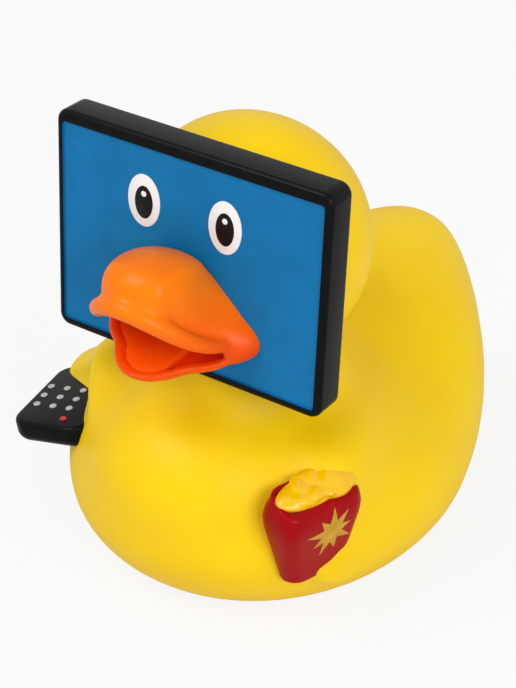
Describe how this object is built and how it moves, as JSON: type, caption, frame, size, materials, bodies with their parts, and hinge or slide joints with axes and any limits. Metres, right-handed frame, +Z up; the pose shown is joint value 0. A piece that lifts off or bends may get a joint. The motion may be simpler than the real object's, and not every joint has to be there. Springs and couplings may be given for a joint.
{
  "type": "rubber duck",
  "caption": "Hollow soft-vinyl duck with a flat television as its face, an open bill, and a remote control and a snack bag held at its wing tips.",
  "frame": {"origin": "on the surface that the duck stands on, midway between its sides, above the middle of its hull", "axes": "+Z up, -Y the way the duck faces, +X towards the duck's left side, where it holds the snack bag"},
  "size_m": [0.072, 0.1009, 0.0848],
  "materials": {
    "vinyl": "satin"
  },
  "bodies": {
    "root": {"duck": "vinyl"}
  },
  "joints": []
}
